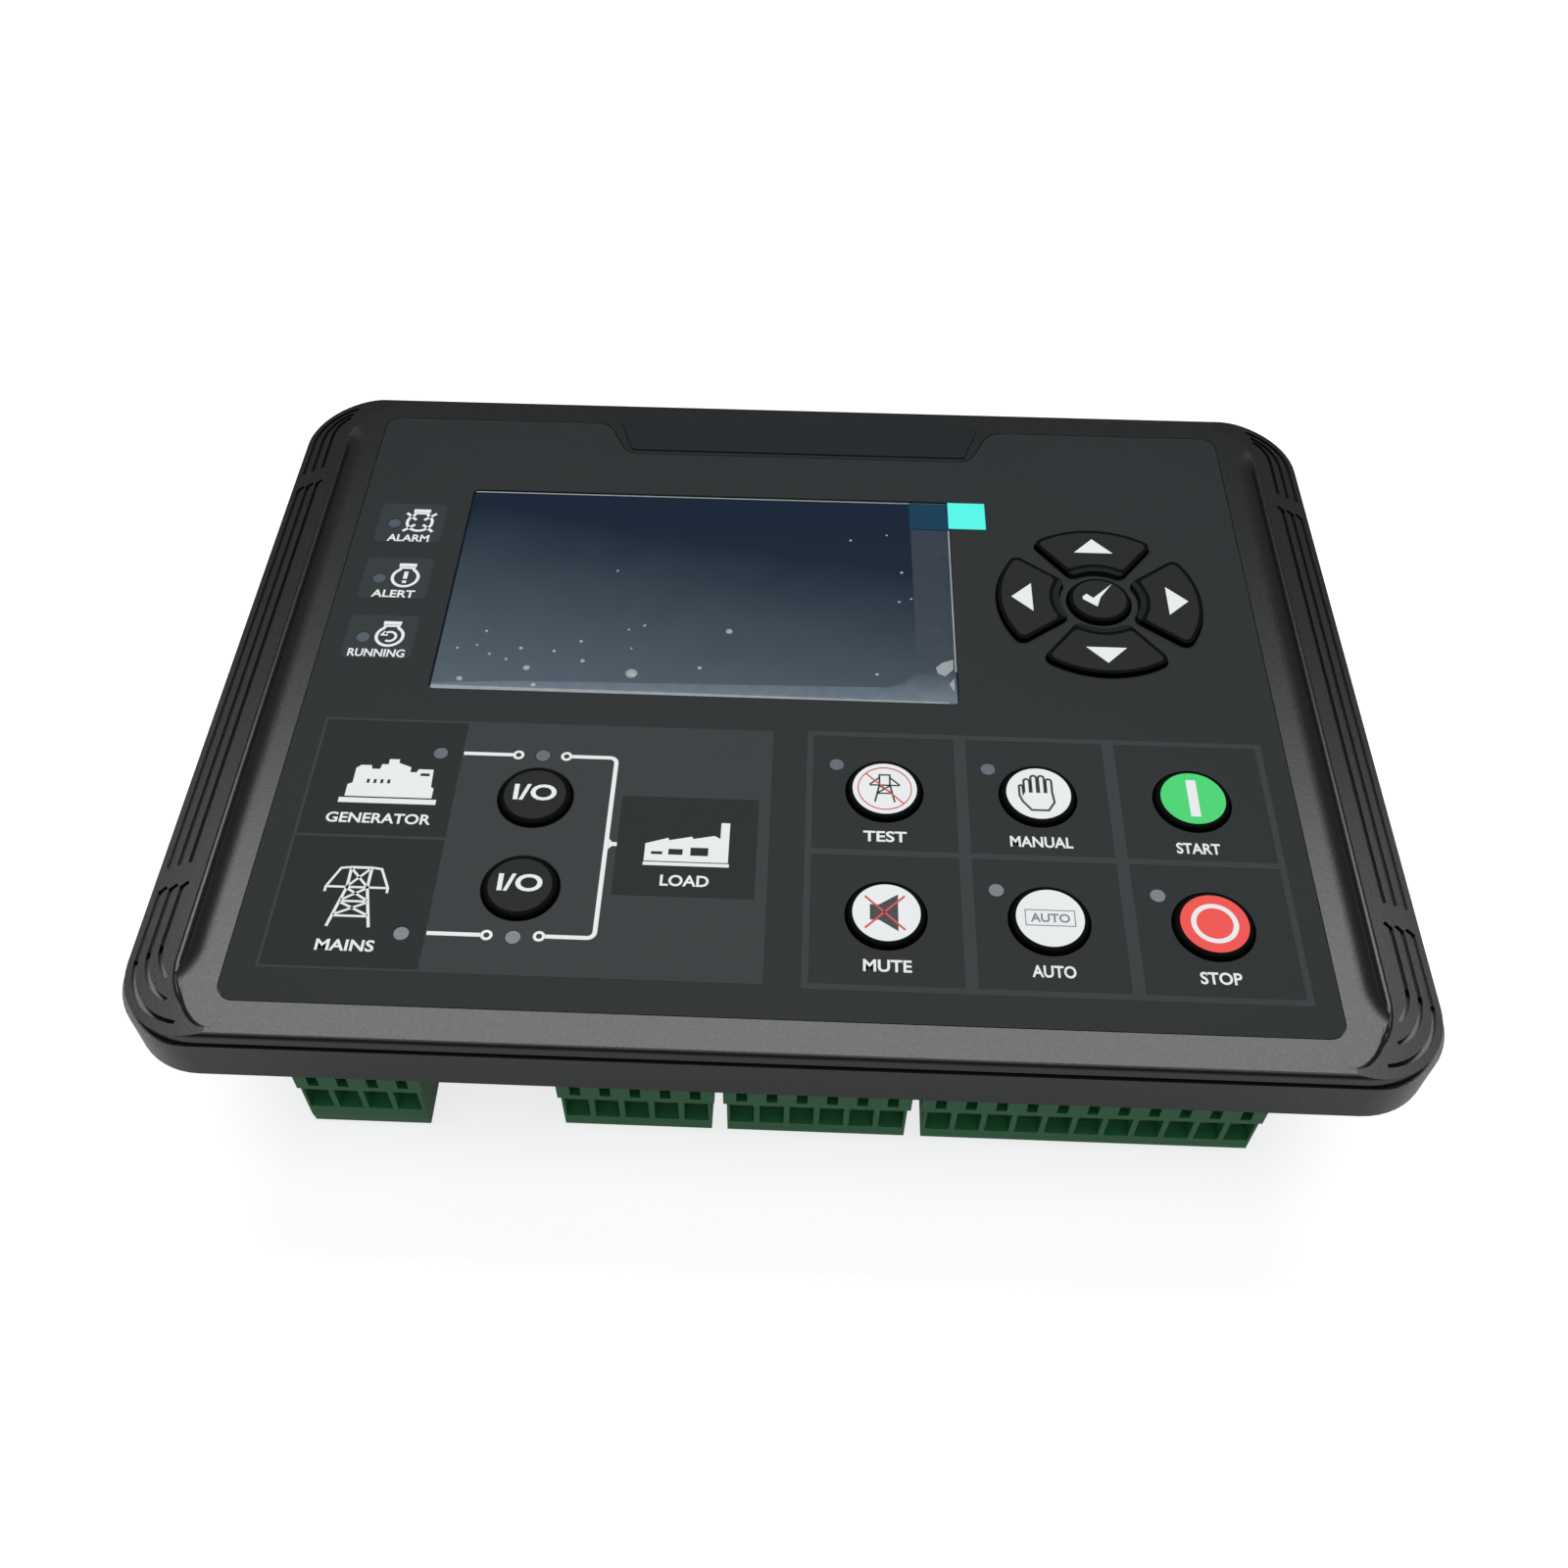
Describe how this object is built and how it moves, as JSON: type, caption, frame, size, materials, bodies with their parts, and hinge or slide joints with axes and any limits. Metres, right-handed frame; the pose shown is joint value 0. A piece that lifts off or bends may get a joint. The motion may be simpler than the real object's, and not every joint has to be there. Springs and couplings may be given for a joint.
{
  "type": "genset controller",
  "caption": "Panel-mounted generator set controller with a display, navigation pad, round function keys, status lamps and green pluggable screw terminals.",
  "frame": {"origin": "under the middle of the face, on the rear of the housing, on which it lies", "axes": "+X along the long side to the right of the face, +Y to the top of the face, +Z out of the face"},
  "size_m": [0.2092, 0.1588, 0.0445],
  "materials": {
    "front_bezel": "fine satin moulding",
    "badge_plate": "blank plate",
    "front_overlay": "printed polyester, fine matt",
    "display_window": "clear acrylic",
    "protective_film": "thin clinging film",
    "film_pull_tab": "bright tab",
    "panel_gasket": "foam rubber",
    "lcd_panel": "dark display panel",
    "lcd_frame": "stamped carrier",
    "lcd_flat_cable": "polyimide strip",
    "black_key": "satin",
    "white_key": "printed cap",
    "green_key": "printed cap",
    "red_key": "printed cap",
    "circuit_board": "solder mask",
    "black_moulding": "moulded",
    "status_lamps": "lamp body",
    "light_pipes": "frosted clear plastic",
    "plated_steel": "plated",
    "relays": "moulded case",
    "current_transformers": "potted case",
    "capacitors": "sleeved can",
    "backup_cell": "cell",
    "rear_housing": "fine texture",
    "header_green": "moulded",
    "plug_green": "moulded"
  },
  "bodies": {
    "controller": {"front_bezel": "front_bezel", "badge_plate": "badge_plate", "front_overlay": "front_overlay", "display_window": "display_window", "protective_film": "protective_film", "film_pull_tab": "film_pull_tab", "panel_gasket": "panel_gasket", "lcd_panel": "lcd_panel", "lcd_frame": "lcd_frame", "lcd_flat_cable": "lcd_flat_cable", "keypad_board": "circuit_board", "push_switches": "black_moulding", "status_lamps": "status_lamps", "light_pipes": "light_pipes", "main_board": "circuit_board", "board_standoffs": "plated_steel", "board_screws": "plated_steel", "board_connector": "black_moulding", "relays": "relays", "current_transformers": "current_transformers", "capacitors": "capacitors", "processor": "black_moulding", "backup_cell": "backup_cell", "rear_housing": "rear_housing", "housing_screws": "plated_steel", "lower_header_1": "header_green", "lower_header_2": "header_green", "lower_header_3": "header_green", "lower_header_4": "header_green", "lower_plug_1": "plug_green", "lower_plug_2": "plug_green", "lower_plug_3": "plug_green", "lower_plug_4": "plug_green", "upper_header_1": "header_green", "upper_header_2": "header_green", "upper_header_3": "header_green", "upper_plug_1": "plug_green", "upper_plug_2": "plug_green", "upper_plug_3": "plug_green", "header_pins": "plated_steel", "clamp_cages": "plated_steel", "clamp_screws": "plated_steel"},
    "up_key": {"key_up": "black_key"},
    "down_key": {"key_down": "black_key"},
    "left_key": {"key_left": "black_key"},
    "right_key": {"key_right": "black_key"},
    "confirm_key": {"key_confirm": "black_key"},
    "generator_breaker_key": {"key_generator_breaker": "black_key"},
    "mains_breaker_key": {"key_mains_breaker": "black_key"},
    "test_key": {"key_test": "white_key"},
    "manual_key": {"key_manual": "white_key"},
    "start_key": {"key_start": "green_key"},
    "mute_key": {"key_mute": "white_key"},
    "auto_key": {"key_auto": "white_key"},
    "stop_key": {"key_stop": "red_key"}
  },
  "joints": [
    {"name": "up_key_press", "type": "slide", "parent": "controller", "child": "up_key", "axis": [0, 0, -1], "range_m": [0, 0.0008], "stiffness_N_per_m": 600, "springref_m": -0.001},
    {"name": "down_key_press", "type": "slide", "parent": "controller", "child": "down_key", "axis": [0, 0, -1], "range_m": [0, 0.0008], "stiffness_N_per_m": 600, "springref_m": -0.001},
    {"name": "left_key_press", "type": "slide", "parent": "controller", "child": "left_key", "axis": [0, 0, -1], "range_m": [0, 0.0008], "stiffness_N_per_m": 600, "springref_m": -0.001},
    {"name": "right_key_press", "type": "slide", "parent": "controller", "child": "right_key", "axis": [0, 0, -1], "range_m": [0, 0.0008], "stiffness_N_per_m": 600, "springref_m": -0.001},
    {"name": "confirm_key_press", "type": "slide", "parent": "controller", "child": "confirm_key", "axis": [0, 0, -1], "range_m": [0, 0.0008], "stiffness_N_per_m": 600, "springref_m": -0.001},
    {"name": "generator_breaker_key_press", "type": "slide", "parent": "controller", "child": "generator_breaker_key", "axis": [0, 0, -1], "range_m": [0, 0.0008], "stiffness_N_per_m": 600, "springref_m": -0.001},
    {"name": "mains_breaker_key_press", "type": "slide", "parent": "controller", "child": "mains_breaker_key", "axis": [0, 0, -1], "range_m": [0, 0.0008], "stiffness_N_per_m": 600, "springref_m": -0.001},
    {"name": "test_key_press", "type": "slide", "parent": "controller", "child": "test_key", "axis": [0, 0, -1], "range_m": [0, 0.0008], "stiffness_N_per_m": 600, "springref_m": -0.001},
    {"name": "manual_key_press", "type": "slide", "parent": "controller", "child": "manual_key", "axis": [0, 0, -1], "range_m": [0, 0.0008], "stiffness_N_per_m": 600, "springref_m": -0.001},
    {"name": "start_key_press", "type": "slide", "parent": "controller", "child": "start_key", "axis": [0, 0, -1], "range_m": [0, 0.0008], "stiffness_N_per_m": 600, "springref_m": -0.001},
    {"name": "mute_key_press", "type": "slide", "parent": "controller", "child": "mute_key", "axis": [0, 0, -1], "range_m": [0, 0.0008], "stiffness_N_per_m": 600, "springref_m": -0.001},
    {"name": "auto_key_press", "type": "slide", "parent": "controller", "child": "auto_key", "axis": [0, 0, -1], "range_m": [0, 0.0008], "stiffness_N_per_m": 600, "springref_m": -0.001},
    {"name": "stop_key_press", "type": "slide", "parent": "controller", "child": "stop_key", "axis": [0, 0, -1], "range_m": [0, 0.0008], "stiffness_N_per_m": 600, "springref_m": -0.001}
  ]
}
